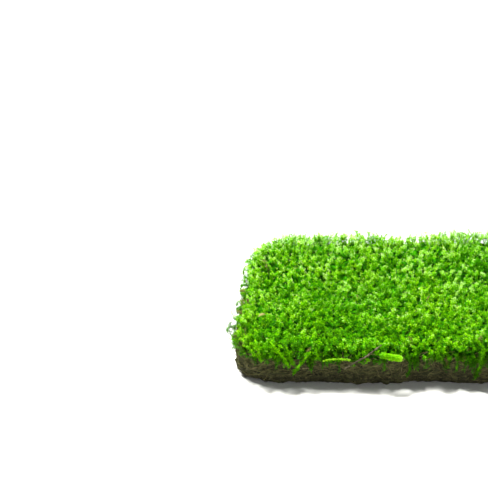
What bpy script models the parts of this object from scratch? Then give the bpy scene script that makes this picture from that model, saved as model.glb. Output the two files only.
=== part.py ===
"""A sheet of living moss, torn from the ground with the mat of humus that it grew on.

The sheet lies flat. +X runs along its front edge, +Y from front to back, +Z up, and the origin is
under its middle, on the surface that it rests on. The humus mat carries the moss carpet, and loose
shoots, a creeping stem and a twig hang down over the front edge.
"""

import math

import bmesh
import bpy
from mathutils import Vector, noise

MM = 0.001

# Driving dimensions, in millimetres
WIDTH = 198.0  # of the humus mat, along X
DEPTH = 135.0  # of the humus mat, along Y
HUMUS_HEIGHT = 16.0
SHEET_HEIGHT = 31.0  # to the tips of the tallest shoots, in the front half
GAP = 0.3  # between pieces that touch

# The torn outline
CORNER_POWER = 9.0  # of a superellipse: higher is squarer
LEFT_LEAN = 13.0  # how far the back left corner lies inside the front left one
WANDER = 2.2  # how far the edge strays from the outline
WANDER_LENGTH = 34.0
CENTRING = (-1.4, 0.6)  # brings the strayed outline back over the origin

EDGE_CROWDING = 0.3  # of the mesh towards the sheet's edges, from 0 to 0.5

# The humus mat
MAT_ROUGHNESS = 1.6
MAT_ROUGHNESS_LENGTH = 18.0
MAT_TUCK = 1.2  # how far its lower edge turns in
MAT_CUTS = (30, 20, 4)

# The moss carpet
OVERHANG = 4.0  # how far the shoots reach out past the humus
BACK_RISE = 4.5  # how much higher the carpet is along its back
RIGHT_RISE = 2.5  # and more than that at the right end of the back
RIM_DROP = 3.6  # how much lower the carpet is at its rim
RIM_SHARPNESS = 14.0  # of the turn from the top to the rim
HUMMOCK = 3.0  # how deep the hollows between its hummocks are
HUMMOCK_LENGTH = 26.0
CARPET_CUTS = (30, 20, 5)

# Loose pieces at the front edge: (name, finish, radius, points along the middle), in millimetres.
# The first point is the piece's root or its thick end.
LOOSE_PIECES = (
    ("hanging_shoot_1", "green_shoot", 1.3,
     ((-88.4, -64.2, 29.2), (-87.6, -68.4, 27.2), (-86.2, -70.6, 22.8), (-84.7, -70.9, 18.2))),
    ("hanging_shoot_2", "green_shoot", 1.3,
     ((-79.6, -66.6, 29.0), (-75.6, -71.2, 26.0), (-71.4, -72.8, 21.0), (-68.4, -72.6, 15.2))),
    ("hanging_shoot_3", "green_shoot", 1.2,
     ((-55.6, -71.6, 25.4), (-59.6, -72.5, 20.0), (-63.0, -72.0, 15.0), (-65.8, -70.2, 9.2))),
    ("hanging_shoot_4", "green_shoot", 1.1,
     ((-71.2, -67.2, 28.8), (-69.2, -71.0, 25.6), (-67.4, -72.5, 20.6), (-66.3, -72.3, 17.0))),
    ("hanging_shoot_5", "green_shoot", 1.0,
     ((-52.7, -69.6, 26.8), (-51.9, -71.5, 23.4), (-50.9, -71.8, 20.2))),
    ("hanging_shoot_6", "green_shoot", 1.0,
     ((1.4, -71.6, 23.4), (3.3, -71.9, 18.0), (3.6, -71.0, 12.0), (2.2, -69.6, 6.6))),
    ("arching_shoot", "green_shoot", 1.4,
     ((36.6, -60.5, 31.2), (42.0, -66.0, 31.0), (46.0, -70.9, 27.6),
      (46.2, -72.9, 20.9), (44.4, -72.3, 13.2), (43.0, -70.6, 6.2))),
    ("fallen_shoot", "green_shoot", 1.4,
     ((-15.4, -73.6, 24.2), (-10.4, -73.6, 23.3), (-5.6, -73.4, 22.2), (-2.4, -72.8, 21.2))),
    ("creeping_stem", "pale_stem", 0.9,
     ((-48.4, -71.7, 18.8), (-44.4, -71.8, 20.0), (-37.8, -72.0, 20.5), (-32.4, -72.5, 20.2))),
    ("twig", "bark", 0.9,
     ((-35.2, -70.8, 13.2), (-29.4, -72.5, 18.4), (-23.4, -73.1, 22.6),
      (-18.2, -71.9, 26.4), (-13.2, -69.6, 29.2))),
)
POINTS_PER_SPAN = 4
TIP_SHARE = {"green_shoot": 0.45, "pale_stem": 0.7, "bark": 0.6}  # thickness at the thin end

# Colour as linear red, green and blue, then roughness
FINISHES = {
    "humus": ((0.052, 0.040, 0.018), 0.95),
    "green_moss": ((0.100, 0.360, 0.012), 0.60),
    "green_shoot": ((0.130, 0.420, 0.015), 0.55),
    "pale_stem": ((0.330, 0.500, 0.045), 0.60),
    "bark": ((0.120, 0.090, 0.060), 0.85),
}


def finish(name):
    """The material of that name, made once."""
    found = bpy.data.materials.get(name)
    if found:
        return found
    colour, roughness = FINISHES[name]
    material = bpy.data.materials.new(name)
    material.use_nodes = True
    shader = material.node_tree.nodes["Principled BSDF"]
    shader.inputs["Base Color"].default_value = (*colour, 1.0)
    shader.inputs["Roughness"].default_value = roughness
    shader.inputs["Metallic"].default_value = 0.0
    material.diffuse_color = (*colour, 1.0)
    return material


def cut_box(cuts):
    """A cube from -1 to 1 as a bmesh, cut into that many slices along X, Y and Z.

    The slices are thinner towards the cube's faces, where the sheet's edges turn.
    """
    box = bmesh.new()
    bmesh.ops.create_cube(box, size=2.0)
    for axis, slices in enumerate(cuts):
        normal = Vector((0.0, 0.0, 0.0))
        normal[axis] = 1.0
        for step in range(1, slices):
            even = 2.0 * step / slices - 1.0
            place = normal * (even * (1.0 + EDGE_CROWDING * (1.0 - even * even)))
            everything = box.verts[:] + box.edges[:] + box.faces[:]
            bmesh.ops.bisect_plane(box, geom=everything, plane_co=place, plane_no=normal)
    return box


def torn_outline(u, v, grown):
    """Where a point of the square from -1 to 1 lies in the sheet's plan.

    The square's edge becomes the torn edge of the humus mat, moved out by grown millimetres.
    """
    reach = max(abs(u), abs(v))
    if reach == 0.0:
        return 0.0, 0.0
    rounding = reach / (abs(u) ** CORNER_POWER + abs(v) ** CORNER_POWER) ** (1.0 / CORNER_POWER)
    x = u * rounding * (WIDTH / 2.0 + grown)
    y = v * rounding * (DEPTH / 2.0 + grown)
    back = (1.0 + v) / 2.0
    x += LEFT_LEAN * (1.0 - u) / 2.0 * back * back * (3.0 - 2.0 * back)
    stray = WANDER * noise.noise(Vector((x, y, 0.0)) / WANDER_LENGTH)
    length = math.hypot(x, y)
    outward = 1.0 + stray * reach / length
    return x * outward + CENTRING[0], y * outward + CENTRING[1]


def add_solid(name, box, finish_name, collection):
    """The bmesh as an object of its own, smooth but for its sharp edges."""
    mesh = bpy.data.meshes.new(name)
    box.to_mesh(mesh)
    box.free()
    mesh.shade_smooth()
    mesh.set_sharp_from_angle(angle=math.radians(50.0))
    mesh.materials.append(finish(finish_name))
    solid = bpy.data.objects.new(name, mesh)
    collection.objects.link(solid)
    return solid


def add_humus_mat(collection):
    """Flat below, where it rests, and above, under the moss. Its torn sides are rough."""
    box = cut_box(MAT_CUTS)
    for vertex in box.verts:
        u, v, w = vertex.co
        rim = max(abs(u), abs(v)) > 0.999
        place = Vector((u * WIDTH, v * DEPTH, w * HUMUS_HEIGHT)) / MAT_ROUGHNESS_LENGTH
        rough = MAT_ROUGHNESS * noise.noise(place)
        tuck = MAT_TUCK * max(0.0, -w) ** 3
        x, y = torn_outline(u, v, (rough - tuck) if rim else 0.0)
        vertex.co = Vector((x, y, (w + 1.0) / 2.0 * HUMUS_HEIGHT)) * MM
    return add_solid("humus_mat", box, "humus", collection)


def add_moss_carpet(collection):
    """The whole green layer as one solid that reaches the shoots' tips: hummocky, with a bulging rim."""
    box = cut_box(CARPET_CUTS)
    floor = HUMUS_HEIGHT + GAP
    for vertex in box.verts:
        u, v, w = vertex.co
        height = (w + 1.0) / 2.0
        bulge = OVERHANG * (1.0 - 0.7 * abs(2.0 * height - 0.75) ** 2.5)
        x, y = torn_outline(u, v, bulge)
        rim = max(abs(u), abs(v)) ** RIM_SHARPNESS
        hollow = 0.5 - 0.5 * noise.noise(Vector((x, y, 40.0)) / HUMMOCK_LENGTH)
        back = min(max(v / 0.75, 0.0), 1.0)
        rise = (BACK_RISE + RIGHT_RISE * (1.0 + u) / 2.0) * back * back * (3.0 - 2.0 * back)
        top = SHEET_HEIGHT + rise - HUMMOCK * hollow * (1.0 - rim) - RIM_DROP * rim
        vertex.co = Vector((x, y, floor + (top - floor) * height)) * MM
    return add_solid("moss_carpet", box, "green_moss", collection)


def smooth_route(points):
    """Points along a Catmull-Rom curve through these, POINTS_PER_SPAN to a span."""
    ends = [Vector(point) for point in points]
    padded = [2 * ends[0] - ends[1], *ends, 2 * ends[-1] - ends[-2]]
    route = []
    for before, start, end, after in zip(padded, padded[1:], padded[2:], padded[3:]):
        for step in range(POINTS_PER_SPAN):
            t = step / POINTS_PER_SPAN
            route.append(0.5 * (
                2 * start + (end - before) * t
                + (2 * before - 5 * start + 4 * end - after) * t ** 2
                + (3 * start - before - 3 * end + after) * t ** 3
            ))
    return [*route, ends[-1]]


def add_loose_piece(name, finish_name, radius, points, collection):
    """A round strand along its route, thinning towards its end."""
    route = smooth_route(points)
    curve = bpy.data.curves.new(name, "CURVE")
    curve.dimensions = "3D"
    curve.bevel_depth = radius * MM
    curve.bevel_resolution = 2
    curve.use_fill_caps = True
    spline = curve.splines.new("POLY")
    spline.points.add(len(route) - 1)
    thin_end = TIP_SHARE[finish_name]
    for number, (point, place) in enumerate(zip(spline.points, route)):
        share = number / (len(route) - 1)
        point.co = (*(place * MM), 1.0)
        point.radius = 1.0 - (1.0 - thin_end) * share ** 2
    curve.materials.append(finish(finish_name))
    strand = bpy.data.objects.new(name, curve)
    collection.objects.link(strand)
    return strand


def main():
    for thing in list(bpy.data.objects):
        bpy.data.objects.remove(thing)
    collection = bpy.data.collections.new("moss_sheet")
    bpy.context.scene.collection.children.link(collection)
    add_humus_mat(collection)
    add_moss_carpet(collection)
    for name, finish_name, radius, points in LOOSE_PIECES:
        add_loose_piece(name, finish_name, radius, points, collection)


main()
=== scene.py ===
"""The looks of a sheet of living moss: leafy shoots grown on a torn mat of humus.

Lengths are in metres. Every small thing is a real mesh, and things of one kind are joined into a few
large pieces. Each mesh of leaves, stems and fibres carries a map named OFBake whose u is the tone of
the plant that a point belongs to, and whose v is how young the tissue is, from 0 at the old base to 1
at the growing tip. On the moss, v also carries painted light and shade. The finishes of the plants are
worked out from that map alone.
"""

import math
from collections import namedtuple

import bpy
import numpy as np
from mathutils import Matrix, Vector, noise
from mathutils.bvhtree import BVHTree


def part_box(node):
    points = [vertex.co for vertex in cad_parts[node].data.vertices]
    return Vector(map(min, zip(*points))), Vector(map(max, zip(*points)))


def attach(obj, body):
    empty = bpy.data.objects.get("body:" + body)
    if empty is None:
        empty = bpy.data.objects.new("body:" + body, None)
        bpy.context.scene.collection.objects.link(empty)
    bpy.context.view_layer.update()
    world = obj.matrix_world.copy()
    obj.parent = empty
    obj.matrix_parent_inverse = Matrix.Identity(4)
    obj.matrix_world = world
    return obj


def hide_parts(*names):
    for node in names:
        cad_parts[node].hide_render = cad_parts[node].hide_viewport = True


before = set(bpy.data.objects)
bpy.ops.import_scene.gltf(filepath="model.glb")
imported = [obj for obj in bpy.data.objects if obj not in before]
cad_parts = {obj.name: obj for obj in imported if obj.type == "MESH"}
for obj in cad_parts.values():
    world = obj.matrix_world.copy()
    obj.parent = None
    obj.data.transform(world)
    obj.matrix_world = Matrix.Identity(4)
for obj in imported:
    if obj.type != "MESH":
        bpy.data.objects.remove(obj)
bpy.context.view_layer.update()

MM = 0.001
GOLDEN_ANGLE = math.radians(137.508)
UP = np.array([0.0, 0.0, 1.0])
LEVEL = (1, 1, 0)  # takes the height out of places and ways
PAINT_MAP = "OFBake"
random = np.random.default_rng(61)

HUMUS_LOW, HUMUS_HIGH = (np.array(corner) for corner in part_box("humus_mat"))
HUMUS_TOP = HUMUS_HIGH[2]
ROOT_HEIGHT = HUMUS_TOP - 0.8 * MM  # where the shoots are rooted
CARPET_LOW, CARPET_HIGH = (np.array(corner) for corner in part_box("moss_carpet"))

# A leaf. Shares are of its length, and variety is a standard deviation
LARGE_LEAF = (1.36 * MM, 0.56 * MM)  # length and width
SMALL_LEAF = (1.30 * MM, 0.56 * MM)
LEAF_WIDEST = 0.42  # where along it the leaf is widest
LEAF_CUP = 0.13  # how far its shoulders stand above its keel
LEAF_CURL = -0.08  # of its tip, from its keel's line
CURL_VARIETY = 0.12
LENGTH_RANGE = (0.80, 1.20)
WIDTH_RANGE = (0.85, 1.20)

# How leaves sit on a shoot
LEAF_SPREAD = math.radians(68.0)  # from the stem, for the oldest leaves
LEAF_CLOSED = math.radians(46.0)  # for the youngest
LEAF_CLOSING = 2.2  # how late along the shoot they close: higher is later
SPREAD_VARIETY = 0.22
LEAF_CROWDING = 0.72  # towards the tip: lower is more
LEAF_ROOTED = 0.12 * MM  # from the middle of the stem
FOOT_END = 0.20  # of the shoot, below which the leaves are shorter
FOOT_SHRINK = 0.30
BUD_START = 0.70  # of the shoot, above which the leaves are the bud's
BUD_SHRINK = 0.32
BUD_YOUTH = 0.10  # how much younger the bud's leaves are

# The plants' map: tones run from dark green to bright, and ages from 0, old, to 1, young; on the moss the
# ages also carry painted light and shade
LEAF_TONES = np.array([0.0, -0.012, 0.012, 0.0])  # at a leaf's root, at both shoulders and at its tip
# The leaf's ages paint shade at its root and light towards its tip
LEAF_PAINTED_SHADING = np.array([-0.25, -0.03, -0.03, 0.10])
TUBE_TONE = 0.012  # round a tube
TUBE_AGE = 0.008
STEM_AGE = 0.85  # of its leaves' age
LEAF_VARIETY = 0.27  # of tone, among the leaves of a shoot
AGE_VARIETY = 0.06  # of age, among them
TWIG_VARIETY = 0.20  # of tone, among its side branches
LIVING_TONES = (0.10, 0.98)
WITHERED_TONE = 0.07  # plants of less tone than this are dead and brown
DEAD_TONE = 0.03

# How far the shoots reach, in millimetres over the carpet's solid
TALLER = 1.3
RIM_LIFT = 1.8  # more, at the rim
BACK_RISE = 1.6  # more, towards the back of the sheet
BACK_HOLLOW = (14.0, 13.0, 3.4)  # a dip along the back: its place, half its width and its depth
RIGHT_CREST = (45.0, 8.0, 2.4)  # a rise to the right: where it begins, how gently, and its height
CORNER_DROP = (-87.0, 66.0, 15.0, 6.0)  # of the back left corner: its place, reach and depth
VALLEYS = (15.0, 0.07, 3.6)  # among the shoots: how far apart, how narrow and how deep
CLUMPS = (7.0, 4.0)  # of taller and lower shoots: their size, and how far they rise and fall
TALLEST = 4.0 * MM  # the most that any stem reaches above the solid's highest point

# How the shoots lean
RIM_WIDTH = 6.0 * MM
DRIFT_SIZE = 12.0 * MM  # of a patch that leans one way
TIP_DRIFT = 3.0 * MM
ROOT_DRIFT = 9.0 * MM
ROOT_PULL = (0.5, 4.5, 1.6)  # in from below the tip: everywhere, more at the rim, and more by chance
ROOT_VARIETY = 1.3 * MM
ROOT_INSET = 1.2 * MM  # from the mat's outline
HEADING_DRIFT = 2.2
HEADING_VARIETY = 0.36
SWAY = 0.45 * MM

# How the moss's age varies, in millimetres and in parts of the map; the age also carries painted light and
# shade
BACK_PAINTED_LIGHT = (42.0, 0.0024)  # painted light: as far back as this, so much younger and brighter with each millimetre
FRONT_PAINTED_SHADE = 0.0006  # painted shade: older and darker with each millimetre in front
SHADED_BAND = (-48.0, 15.0, 0.07)  # painted shade near the front: its middle, half its width, and how much older and darker it is painted
YOUNG_CLUMPS = (5.0, 0.26)  # their size, and how far the age rises and falls
LEFT_PAINTED_SHADE = (9.0, 0.10)  # painted shade: how far in from the left edge, and how much older and darker it is painted
FRONT_EDGE_PAINTED_SHADE = (7.0, 0.06)  # painted shade: the same for the front edge

# How the moss's tone varies
DRIFTS = ((38.0, 20.0, 0.45), (13.0, 31.0, 0.35))  # size in millimetres, seed and strength
DEAD_CORNER = (15.0, 0.18)  # how far from the front left corner, and how many shoots are dead there
DEAD_LEFT = (6.0, 0.07)  # the same for the left edge

# Shoots that fill the carpet: how far apart; and the lowest and highest of how far they stop short of
# its solid in millimetres, of their size and of their tips' age; and how much older and darker the drooping
# are painted, as painted shade
Crowd = namedtuple("Crowd", "apart shortfall size youngest drooping")
LARGE_CROWD = Crowd(4.2 * MM, (-1.8, 1.4), (0.80, 1.18), (0.84, 1.0), 0.30)
SMALL_CROWD = Crowd(2.9 * MM, (0.6, 4.6), (0.75, 1.05), (0.68, 0.92), 0.26)
RIM_SHARE = 0.2  # shoots nearer the rim than this have leaves further down

# What grows on a shoot: the stem's radii at its ends, the leaves, the share of the shoot below them,
# the leaf, the side branches and the leaves on each
Growth = namedtuple("Growth", "stem leaves bare leaf twigs twig_leaves")
TOP_GROWTH = Growth((0.30 * MM, 0.14 * MM), 28, 0.52, LARGE_LEAF, 7, 8)
RIM_GROWTH = Growth((0.30 * MM, 0.14 * MM), 42, 0.24, LARGE_LEAF, 4, 8)
YOUNG_GROWTH = Growth((0.28 * MM, 0.14 * MM), 16, 0.40, SMALL_LEAF, 3, 7)
EDGE_GROWTH = Growth((0.30 * MM, 0.14 * MM), 28, 0.34, LARGE_LEAF, 6, 8)
DROOPING_GROWTH = Growth((0.32 * MM, 0.14 * MM), 44, 0.15, LARGE_LEAF, 4, 8)
TWIG_LENGTH = 2.7 * MM
TWIG_SPAN = (0.48, 0.95)  # of the shoot
TWIG_LEAN = 0.78  # away from the shoot, in radians
TWIG_LEAF = (0.78, 0.84)  # length and width, of the shoot's own leaf
TWIG_YOUTH = 0.45  # how much younger its tip is than its root

# Upright shoots along the rim
EDGE_APART = 2.6 * MM
DOUBLED_BEHIND = 55 * MM
DOUBLED_LEFT_OF = -78 * MM
BACK_SIZE = 0.22  # how much larger they are along the back

FRINGE_TRIED = 360  # drooping shoots, before the thin places lose theirs

# The close growth between the shoots, painted dark as the shade deep among them
BED_HEIGHT = 0.58  # of the carpet's solid, over the middle of the sheet
BED_RIM_HEIGHT = 0.76  # at its rim and back
BED_VOXEL = 2.0 * MM
BED_RIM_WIDTH = 5.0 * MM
BED_INSET = 2.2 * MM
BED_LUMP = 1.6 * MM

# The humus mat
HUMUS_VOXEL = 1.5 * MM
UNDERSIDE_ROUGH = 0.35  # of the roughness of its torn side
CRUMBS = 2200
ROOTLETS = 600

# Fibres of its torn side, in millimetres but for the slant, tones and ages: how many, length, radius,
# slant, the heights they lie at, how far their ends stand off, tones and ages
SIDE_FIBRES = (
    (1500, (5, 16), (0.12, 0.30), 0.32, (1.0, HUMUS_TOP / MM), (-0.2, 0.8), (0.25, 0.75), (0.0, 0.6)),
    (500, (3, 9), (0.08, 0.16), 1.2, (1.0, HUMUS_TOP / MM), (0.4, 2.6), (0.40, 0.98), (0.0, 0.6)),
    (500, (5, 13), (0.12, 0.26), 0.7, (HUMUS_TOP / MM - 3, HUMUS_TOP / MM + 3), (0.0, 2.2), (0.35, 0.80),
     (0.4, 0.76)),
)

# Loose shoots at the front edge: (node, radius, tone, age at each end, points along the middle). Radii
# and points are in millimetres, as in the frame
LOOSE_SHOOTS = (
    ("hanging_shoot_1", 1.3, 0.60, (0.94, 0.82),
     ((-88.4, -64.2, 29.2), (-87.6, -68.4, 27.2), (-86.2, -70.6, 22.8), (-84.7, -70.9, 18.2))),
    ("hanging_shoot_2", 1.3, 0.60, (0.92, 0.66),
     ((-79.6, -66.6, 29.0), (-75.6, -71.2, 26.0), (-71.4, -72.8, 21.0), (-68.4, -72.6, 15.2))),
    ("hanging_shoot_3", 1.2, 0.55, (0.90, 0.58),
     ((-55.6, -71.6, 25.4), (-59.6, -72.5, 20.0), (-63.0, -72.0, 15.0), (-65.8, -70.2, 9.2))),
    ("hanging_shoot_4", 1.1, 0.50, (0.88, 0.66),
     ((-71.2, -67.2, 28.8), (-69.2, -71.0, 25.6), (-67.4, -72.5, 20.6), (-66.3, -72.3, 17.0))),
    ("hanging_shoot_5", 1.0, 0.50, (0.84, 0.68),
     ((-52.7, -69.6, 26.8), (-51.9, -71.5, 23.4), (-50.9, -71.8, 20.2))),
    ("hanging_shoot_6", 1.0, 0.30, (0.62, 0.34),
     ((1.4, -71.6, 23.4), (3.3, -71.9, 18.0), (3.6, -71.0, 12.0), (2.2, -69.6, 6.6))),
    ("arching_shoot", 1.4, 0.72, (0.98, 0.30),
     ((36.6, -60.5, 31.2), (42.0, -66.0, 31.0), (46.0, -70.9, 27.6),
      (46.2, -72.9, 20.9), (44.4, -72.3, 13.2), (43.0, -70.6, 6.2))),
)
FALLEN_SHOOT = ((-15.4, -73.6, 24.2), (-10.4, -73.6, 23.3), (-5.6, -73.4, 22.2), (-2.4, -72.8, 21.2))
CREEPING_STEM = ((-48.4, -71.7, 18.8), (-44.4, -71.8, 20.0), (-37.8, -72.0, 20.5), (-32.4, -72.5, 20.2))
TWIG = ((-35.2, -70.8, 13.2), (-29.4, -72.5, 18.4), (-23.4, -73.1, 22.6),
        (-18.2, -71.9, 26.4), (-13.2, -69.6, 29.2))
LEAF_EVERY = 0.16 * MM  # along a loose shoot
PLUME_EVERY = 0.9 * MM

# Bits of litter on top of the moss: (x, y, length, turn in degrees, age), in millimetres
LITTER = (
    (-84.0, -38.4, 5.0, 20.0, 0.95),
    (20.3, -16.9, 5.5, 65.0, 0.45),
    (-81.3, 30.6, 5.0, 150.0, 0.40),
    (-95.0, -1.2, 7.0, 170.0, 0.90),
    (-92.8, -16.9, 4.0, 100.0, 0.30),
)

# The colours of moss from its old base to its growing tip, as linear red, green and blue at places
# along the age. The darkest greens low on the age are old tissue and also painted shade deep among the
# shoots, and the palest stops at the very tip are painted highlights
DEEP_GREEN = (
    (0.0, (0.024, 0.022, 0.003)), (0.15, (0.012, 0.050, 0.000)), (0.50, (0.016, 0.125, 0.000)),
    (0.75, (0.056, 0.340, 0.000)), (0.88, (0.180, 0.610, 0.001)), (0.95, (0.400, 0.850, 0.070)),
    (1.0, (0.760, 1.000, 0.420)))
BRIGHT_GREEN = (
    (0.0, (0.060, 0.048, 0.006)), (0.15, (0.030, 0.090, 0.000)), (0.50, (0.070, 0.270, 0.000)),
    (0.75, (0.220, 0.590, 0.000)), (0.88, (0.470, 0.870, 0.004)), (0.95, (0.760, 0.980, 0.180)),
    (1.0, (1.000, 1.000, 0.750)))
WITHERED = ((0.0, (0.030, 0.026, 0.008)), (0.6, (0.090, 0.074, 0.020)), (1.0, (0.400, 0.350, 0.130)))
LEAF_LIGHT = (0.34, 0.80, 0.02)  # what comes through a leaf
LEAF_GLOW = 0.40  # how much of it, at the youngest


# ---------------------------------------------------------------- finishes

class Value:
    """A socket in a finish. Arithmetic on it adds Math nodes."""

    def __init__(self, finish, socket):
        self.finish = finish
        self.socket = socket

    def maths(self, operation, *terms):
        return self.finish.node("Math", {"operation": operation}, dict(enumerate(terms)))

    def __add__(self, other):
        return self.maths("ADD", self, other)

    __radd__ = __add__

    def __sub__(self, other):
        return self.maths("SUBTRACT", self, other)

    def __rsub__(self, other):
        return self.maths("SUBTRACT", other, self)

    def __mul__(self, other):
        return self.maths("MULTIPLY", self, other)

    __rmul__ = __mul__

    def __truediv__(self, other):
        return self.maths("DIVIDE", self, other)

    def clamped(self):
        return self.maths("MINIMUM", self.maths("MAXIMUM", self, 0.0), 1.0)

    def over(self, threshold, softness):
        """0 below the threshold and 1 above it, over a soft step."""
        return ((self - threshold) / softness + 0.5).clamped()


class Finish:
    """A material, or the world's light, made one node at a time."""

    def __init__(self, name, kind=bpy.data.materials):
        self.owner = kind.new(name)
        self.owner.use_nodes = True
        self.tree = self.owner.node_tree
        self.tree.nodes.clear()

    def feed(self, socket, term):
        if isinstance(term, Value):
            self.tree.links.new(term.socket, socket)
        elif socket.type == "RGBA":
            socket.default_value = (*term, 1.0)
        else:
            socket.default_value = term

    def node(self, kind, settings=None, inputs=None, output=0):
        """Adds a node of that type: its settings first, then its sockets' values or links."""
        made = self.tree.nodes.new("ShaderNode" + kind)
        for name, setting in (settings or {}).items():
            if name == "stops":
                self.set_stops(made.color_ramp, setting)
            else:
                setattr(made, name, setting)
        for name, term in (inputs or {}).items():
            self.feed(made.inputs[name], term)
        return Value(self, made.outputs[output]) if made.outputs else None

    @staticmethod
    def set_stops(ramp, stops):
        while len(ramp.elements) < len(stops):
            ramp.elements.new(0.5)
        for element, (position, colour) in zip(ramp.elements, stops):
            element.position = position
            element.color = (*colour, 1.0)

    def blend(self, share, first, second):
        """A colour between two, by share."""
        return self.node("Mix", {"data_type": "RGBA"}, {0: share, 6: first, 7: second}, output=2)

    def paint(self):
        """The tone and the age of the tissue, from the plants' own map."""
        place = self.node("UVMap", {"uv_map": PAINT_MAP})
        tone = self.node("SeparateXYZ", inputs={"Vector": place}, output=0)
        age = self.node("SeparateXYZ", inputs={"Vector": place}, output=1)
        return tone, age

    def grain(self, size, detail=3.0, stretch=(1.0, 1.0, 1.0)):
        """Noise from 0 to 1 whose lumps are about that large."""
        place = self.node("TexCoord", output=3)
        scaled = self.node("VectorMath", {"operation": "MULTIPLY"}, {0: place, 1: stretch})
        return self.node("TexNoise", inputs={"Vector": scaled, "Scale": 1.0 / size, "Detail": detail})

    def surface(self, **inputs):
        return self.node("BsdfPrincipled", inputs=inputs)

    def done(self, shader, kind="OutputMaterial"):
        self.node(kind, inputs={"Surface": shader})
        return self.owner


def moss_finish():
    """Leaves and stems of moss. The youngest glow the most with the light that comes through them."""
    made = Finish("moss_green")
    tone, age = made.paint()
    # by age: old tissue and painted shade low among the shoots, up to bright young tips with painted
    # highlights at the very tip
    deep_green = made.node("ValToRGB", {"stops": DEEP_GREEN}, {"Fac": age})
    bright_green = made.node("ValToRGB", {"stops": BRIGHT_GREEN}, {"Fac": age})
    living = made.blend(tone, deep_green, bright_green)
    brown = made.node("ValToRGB", {"stops": WITHERED}, {"Fac": age})
    colour = made.blend(tone.over(WITHERED_TONE, 0.02), brown, living)
    body = made.surface(**{"Base Color": colour, "Roughness": 0.42, "Specular IOR Level": 0.03})
    through = made.node("BsdfTranslucent", inputs={"Color": LEAF_LIGHT})
    return made.done(made.node("MixShader", inputs={0: age * age * LEAF_GLOW, 1: body, 2: through}))


def bed_shade_finish():
    """The dark green and brown growth deep between the shoots, its dark greens painted shade for the depth
    among them.
    """
    made = Finish("deep_moss_shade")
    lumps = made.grain(2.6 * MM, 4.0)
    patches = made.grain(14.0 * MM, 2.0)
    # the dark greens are painted shade deep among the shoots
    green = made.node("ValToRGB", {"stops": [(0.35, (0.004, 0.020, 0.001)), (0.55, (0.012, 0.090, 0.001)),
                                             (0.75, (0.040, 0.240, 0.001))]}, {"Fac": lumps})
    colour = made.blend(patches.over(0.64, 0.10) * 0.4, green, (0.030, 0.026, 0.006))
    bump = made.node("Bump", inputs={"Strength": 0.8, "Distance": 0.8 * MM, "Height": lumps})
    return made.done(made.surface(**{"Base Color": colour, "Roughness": 0.8, "Specular IOR Level": 0.0,
                                     "Normal": bump}))


def humus_finish():
    """Dark crumbly humus with paler and olive patches, darker towards its foot as painted shade."""
    made = Finish("dark_humus")
    lumps = made.grain(3.2 * MM, 5.0)
    streaks = made.grain(1.4 * MM, 4.0, (0.25, 0.25, 1.0))
    height = made.node("SeparateXYZ", inputs={"Vector": made.node("TexCoord", output=3)}, output=2)
    raised = (height / float(HUMUS_TOP)).clamped()
    dark = made.node("ValToRGB", {"stops": [(0.30, (0.007, 0.007, 0.004)), (0.52, (0.026, 0.026, 0.012)),
                                            (0.72, (0.072, 0.070, 0.030))]}, {"Fac": streaks})
    pale = made.node("ValToRGB", {"stops": [(0.30, (0.018, 0.020, 0.007)), (0.52, (0.060, 0.066, 0.020)),
                                            (0.75, (0.150, 0.150, 0.048))]}, {"Fac": streaks})
    # darker the lower it lies on the side: painted shade
    colour = made.blend((raised * 0.75 + (lumps - 0.5) * 1.4).clamped(), dark, pale)
    bump = made.node("Bump", inputs={"Strength": 0.7, "Distance": 0.6 * MM, "Height": streaks + lumps})
    return made.done(made.surface(**{"Base Color": colour, "Roughness": 0.92, "Specular IOR Level": 0.15,
                                     "Normal": bump}))


def fibre_finish():
    """Old stems, rhizoids and crumbs, from nearly black to tan by their tone."""
    made = Finish("humus_fibre")
    tone, age = made.paint()
    colour = made.node("ValToRGB", {"stops": [
        (0.0, (0.010, 0.009, 0.005)), (0.35, (0.038, 0.036, 0.015)), (0.60, (0.095, 0.088, 0.034)),
        (0.80, (0.155, 0.155, 0.052)), (0.93, (0.250, 0.205, 0.090)), (1.0, (0.400, 0.350, 0.190))]},
        {"Fac": tone})
    shaded = made.blend(age * 0.35, colour, (0.05, 0.05, 0.02))
    return made.done(made.surface(**{"Base Color": shaded, "Roughness": 0.8, "Specular IOR Level": 0.2}))


def pale_stem_finish():
    made = Finish("pale_stem")
    mottle = made.grain(1.6 * MM)
    colour = made.blend(mottle, (0.07, 0.22, 0.00), (0.26, 0.50, 0.01))
    bump = made.node("Bump", inputs={"Strength": 0.4, "Distance": 0.2 * MM, "Height": mottle})
    return made.done(made.surface(**{"Base Color": colour, "Roughness": 0.5, "Specular IOR Level": 0.08,
                                     "Normal": bump}))


def bark_finish():
    made = Finish("twig_bark")
    ridges = made.grain(1.1 * MM, 5.0, (0.5, 1.0, 0.5))
    colour = made.node("ValToRGB", {"stops": [(0.30, (0.018, 0.015, 0.008)), (0.50, (0.062, 0.054, 0.030)),
                                              (0.70, (0.170, 0.150, 0.090))]}, {"Fac": ridges})
    bump = made.node("Bump", inputs={"Strength": 0.8, "Distance": 0.3 * MM, "Height": ridges})
    return made.done(made.surface(**{"Base Color": colour, "Roughness": 0.85, "Specular IOR Level": 0.2,
                                     "Normal": bump}))


# ---------------------------------------------------------------- small shapes, many at a time

def unit(vectors):
    length = np.linalg.norm(vectors, axis=-1, keepdims=True)
    return vectors / np.maximum(length, 1e-12)


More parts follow.
